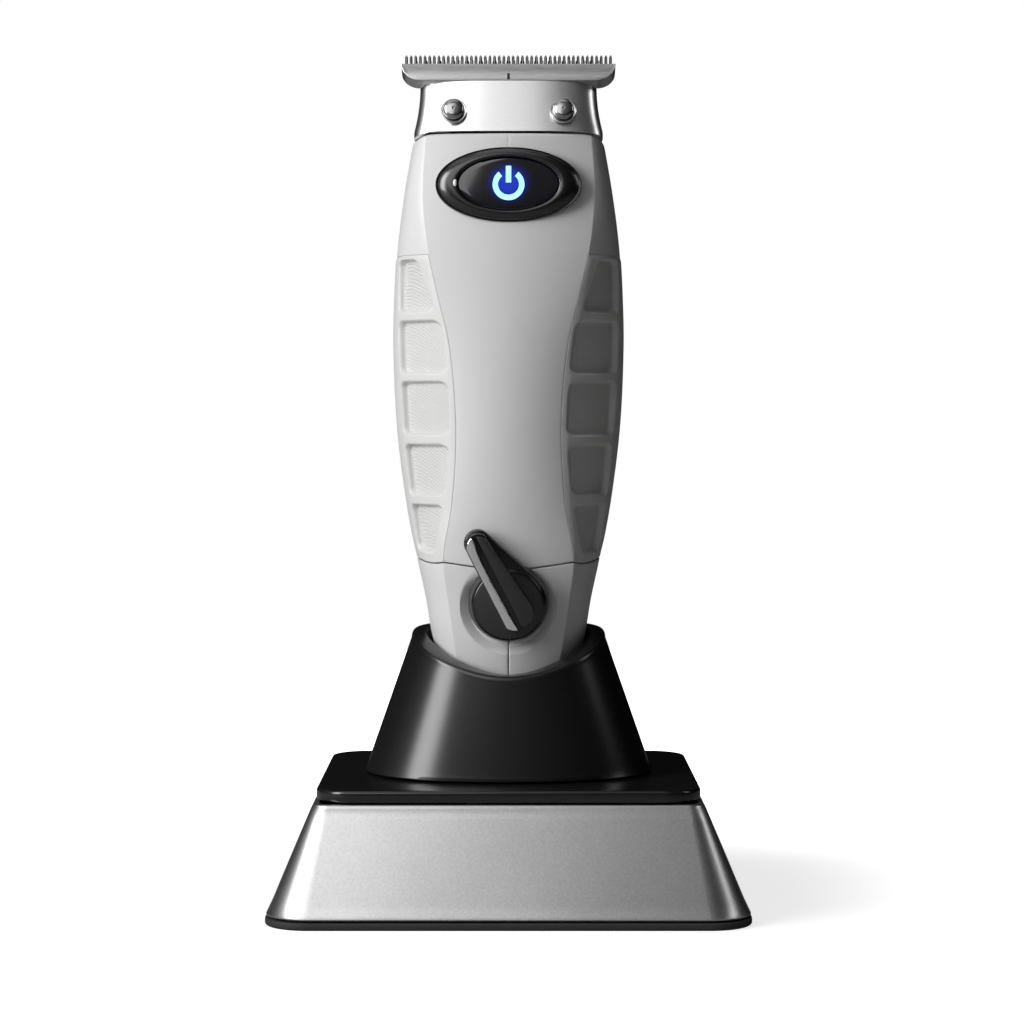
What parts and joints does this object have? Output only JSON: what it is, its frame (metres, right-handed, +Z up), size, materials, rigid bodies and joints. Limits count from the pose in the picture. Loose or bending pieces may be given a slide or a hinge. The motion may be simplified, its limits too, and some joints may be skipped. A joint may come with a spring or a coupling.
{
  "type": "body groomer",
  "caption": "Cordless T-blade body groomer with rotary switch, lit power button and gripped sides, standing in a weighted charging stand.",
  "frame": {"origin": "on the table, under the middle of the stand's foot pad", "axes": "+Z up along the trimmer, -Y the front with the button and the switch, +X to the right seen from the front"},
  "size_m": [0.0884, 0.0794, 0.1595],
  "materials": {
    "pad_rubber": "matte",
    "base_black": "matte",
    "ballast_iron": "as cast",
    "stand_steel": "fine satin",
    "plate_black": "semi-gloss",
    "cradle_black": "satin",
    "circuit_board": "solder mask",
    "inlet_black": "satin",
    "contact_brass": "bright",
    "nylon": "natural",
    "spring_steel": "polished",
    "wire_red": "sleeved",
    "screw_steel": "machined",
    "washer_chrome": "polished",
    "body_grey": "smooth satin",
    "grip_grey": "fine textured pockets",
    "blade_steel": "satin ground",
    "motor_steel": "drawn can",
    "moulded_black": "moulded",
    "cell_wrap": "shrink sleeve",
    "bezel_gloss": "high gloss",
    "button_gloss": "high gloss, lit mark",
    "light_blue": "frosted",
    "knob_black": "gloss and satin",
    "lever_chrome": "polished"
  },
  "bodies": {
    "stand": {"foot_pad": "pad_rubber", "base_plate": "base_black", "base_screw_1": "screw_steel", "base_screw_2": "screw_steel", "base_screw_3": "screw_steel", "base_screw_4": "screw_steel", "ballast_weight": "ballast_iron", "stand_shell": "stand_steel", "stand_top_plate": "plate_black", "cradle_cup": "cradle_black", "charging_board": "circuit_board", "inlet_jack": "inlet_black", "inlet_pin": "contact_brass", "inlet_bezel": "inlet_black", "contact_block": "nylon", "contact_spring_left": "spring_steel", "contact_spring_right": "spring_steel", "contact_wire_left": "wire_red", "contact_wire_right": "wire_red"},
    "contact_left": {"contact_pin_left": "contact_brass"},
    "contact_right": {"contact_pin_right": "contact_brass"},
    "rotor": {"motor_shaft": "motor_steel", "eccentric_crank": "contact_brass"},
    "cutter": {"moving_blade": "blade_steel", "drive_yoke": "nylon"},
    "button": {"power_button": "button_gloss", "light_guide": "light_blue"},
    "switch": {"switch_knob": "knob_black", "lever_trim": "lever_chrome", "switch_shaft": "motor_steel"},
    "trimmer": {"main_board": "circuit_board", "button_board": "circuit_board", "charge_pad_left": "contact_brass", "charge_pad_right": "contact_brass", "battery_holder": "nylon", "blade_tension_spring": "spring_steel", "housing_screw_1": "screw_steel", "housing_screw_2": "screw_steel", "housing_screw_3": "screw_steel", "housing_screw_4": "screw_steel", "blade_screw_left": "screw_steel", "blade_screw_right": "screw_steel", "blade_washer_left": "washer_chrome", "blade_washer_right": "washer_chrome", "front_housing": "body_grey", "rear_housing": "body_grey", "lower_housing_left": "body_grey", "lower_housing_right": "body_grey", "rear_head_cover": "body_grey", "grip_left": "grip_grey", "grip_right": "grip_grey", "fixed_blade": "blade_steel", "motor_case": "motor_steel", "motor_bracket": "moulded_black", "rotary_switch_body": "moulded_black", "tact_switch": "moulded_black", "battery_cell": "cell_wrap", "button_bezel": "bezel_gloss", "status_led": "light_blue"}
  },
  "joints": [
    {"name": "trimmer_lift", "type": "slide", "parent": "stand", "child": "trimmer", "axis": [0, 0, 1], "range_m": [0, 0.055]},
    {"name": "switch_turn", "type": "hinge", "parent": "trimmer", "child": "switch", "pos_m": [0, -0.01445, 0.0572], "axis": [0, 0.9912, 0.1323], "range_deg": [0, 58]},
    {"name": "button_press", "type": "slide", "parent": "trimmer", "child": "button", "axis": [0, 0.9945, -0.1045], "range_m": [0, 0.0005], "stiffness_N_per_m": 600, "springref_m": -0.0003},
    {"name": "motor_turn", "type": "hinge", "parent": "trimmer", "child": "rotor", "pos_m": [0, 0.0004, 0.141], "axis": [0, 0, 1], "range_deg": [-90, 90]},
    {"name": "cutter_slide", "type": "slide", "parent": "trimmer", "child": "cutter", "axis": [1, 0, 0], "range_m": [-0.0011, 0.0011]},
    {"name": "contact_press_left", "type": "slide", "parent": "stand", "child": "contact_left", "axis": [0, 0, 1], "range_m": [-0.0008, 0], "stiffness_N_per_m": 300, "springref_m": 0.0004, "deforming": ["contact_spring_left"]},
    {"name": "contact_press_right", "type": "slide", "parent": "stand", "child": "contact_right", "axis": [0, 0, 1], "range_m": [-0.0008, 0], "stiffness_N_per_m": 300, "springref_m": 0.0004, "deforming": ["contact_spring_right"]}
  ],
  "couplings": [
    {"joint": "cutter_slide", "follows": "motor_turn", "m_per_rad": 0.0007}
  ]
}
